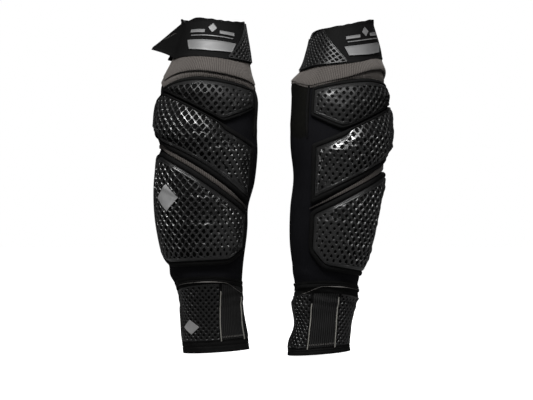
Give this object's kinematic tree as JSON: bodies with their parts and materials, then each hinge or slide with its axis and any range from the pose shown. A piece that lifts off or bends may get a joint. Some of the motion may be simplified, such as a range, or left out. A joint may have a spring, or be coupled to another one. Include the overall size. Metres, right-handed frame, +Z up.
{
  "type": "knee and shin guards",
  "caption": "Pair of soft knee and shin guards: stretch sleeves with a thigh strap, moulded lattice pads over foam, and ribbed ankle cuffs.",
  "frame": {"origin": "on the ground line, midway between the two ankles", "axes": "+Z up along the legs, -Y towards the front of the guards, +X to the right of a person who faces the fronts"},
  "size_m": [0.3699, 0.1634, 0.5044],
  "materials": {
    "sleeve": "matt stretch knit",
    "rib_knit": "ribbed knit, taupe",
    "webbing": "fine woven, black",
    "badge": "satin silver print film",
    "grip_rubber": "satin moulded lattice",
    "loop": "brushed loop pile",
    "hook": "fine hooks",
    "silicone": "satin silicone",
    "foam": "closed-cell foam",
    "pad_cover": "glossy flexible moulding",
    "mesh": "open mesh",
    "cuff_fabric": "stretch knit, black",
    "binding": "folded elastic binding",
    "cuff_rib": "ribbed elastic",
    "piping": "satin grey piping"
  },
  "bodies": {
    "left_thigh": {"left_thigh_sleeve": "sleeve", "left_rib_panel": "rib_knit", "left_thigh_strap": "webbing", "left_strap_badge": "badge", "left_strap_bars": "badge", "left_strap_grip_panel": "grip_rubber", "left_strap_loop_patch": "loop", "left_gripper_strip": "silicone", "left_upper_pad_foam": "foam", "left_upper_pad_cover": "pad_cover", "left_thigh_mesh_panel": "mesh", "left_upper_gusset": "sleeve"},
    "left_strap_end": {"left_strap_tab": "webbing", "left_strap_hook_patch": "hook"},
    "left_knee": {"left_knee_sleeve": "sleeve", "left_knee_pad_foam": "foam", "left_knee_pad_cover": "pad_cover", "left_lower_gusset": "sleeve", "left_flex_strip": "rib_knit"},
    "left_shin": {"left_shin_sleeve": "sleeve", "left_shin_pad_foam": "foam", "left_shin_pad_cover": "pad_cover", "left_calf_panel": "mesh", "left_ankle_cuff": "cuff_fabric", "left_cuff_binding": "binding", "left_cuff_rib_panel": "cuff_rib", "left_cuff_grip_panels": "grip_rubber", "left_cuff_piping": "piping", "left_cuff_hem": "binding"},
    "right_thigh": {"right_thigh_sleeve": "sleeve", "right_rib_panel": "rib_knit", "right_thigh_strap": "webbing", "right_strap_badge": "badge", "right_strap_bars": "badge", "right_strap_grip_panel": "grip_rubber", "right_strap_loop_patch": "loop", "right_gripper_strip": "silicone", "right_upper_pad_foam": "foam", "right_upper_pad_cover": "pad_cover", "right_thigh_mesh_panel": "mesh", "right_upper_gusset": "sleeve"},
    "right_strap_end": {"right_strap_tab": "webbing", "right_strap_hook_patch": "hook"},
    "right_knee": {"right_knee_sleeve": "sleeve", "right_knee_pad_foam": "foam", "right_knee_pad_cover": "pad_cover", "right_lower_gusset": "sleeve", "right_flex_strip": "rib_knit"},
    "right_shin": {"right_shin_sleeve": "sleeve", "right_shin_pad_foam": "foam", "right_shin_pad_cover": "pad_cover", "right_calf_panel": "mesh", "right_ankle_cuff": "cuff_fabric", "right_cuff_binding": "binding", "right_cuff_rib_panel": "cuff_rib", "right_cuff_grip_panels": "grip_rubber", "right_cuff_piping": "piping", "right_cuff_hem": "binding"}
  },
  "joints": [
    {"name": "pair_spread", "type": "slide", "parent": "left_thigh", "child": "right_thigh", "axis": [1, 0, 0], "range_m": [0, 0.25]},
    {"name": "left_upper_flex", "type": "hinge", "parent": "left_thigh", "child": "left_knee", "pos_m": [-0.09526, -0.03828, 0.34635], "axis": [0.9562, 0.2924, 0.0122], "range_deg": [0, 30], "stiffness_Nm_per_rad": 0.6, "deforming": ["left_upper_gusset"]},
    {"name": "left_lower_flex", "type": "hinge", "parent": "left_knee", "child": "left_shin", "pos_m": [-0.09962, -0.04011, 0.25429], "axis": [0.9562, 0.2924, 0.0122], "range_deg": [0, 40], "stiffness_Nm_per_rad": 0.6, "deforming": ["left_lower_gusset", "left_flex_strip"]},
    {"name": "left_strap_end_swing", "type": "hinge", "parent": "left_thigh", "child": "left_strap_end", "pos_m": [-0.14503, -0.02631, 0.46882], "axis": [-0.3168, -0.2106, -0.9248], "range_deg": [-20, 20]},
    {"name": "right_upper_flex", "type": "hinge", "parent": "right_thigh", "child": "right_knee", "pos_m": [0.10447, -0.02338, 0.34836], "axis": [0.9535, 0.2915, -0.0767], "range_deg": [0, 30], "stiffness_Nm_per_rad": 0.6, "deforming": ["right_upper_gusset"]},
    {"name": "right_lower_flex", "type": "hinge", "parent": "right_knee", "child": "right_shin", "pos_m": [0.0983, -0.02577, 0.2566], "axis": [0.9535, 0.2915, -0.0767], "range_deg": [0, 40], "stiffness_Nm_per_rad": 0.6, "deforming": ["right_lower_gusset", "right_flex_strip"]},
    {"name": "right_strap_end_swing", "type": "hinge", "parent": "right_thigh", "child": "right_strap_end", "pos_m": [0.15502, 0.01925, 0.46705], "axis": [0.204, -0.0564, -0.9774], "range_deg": [0, 100]}
  ]
}
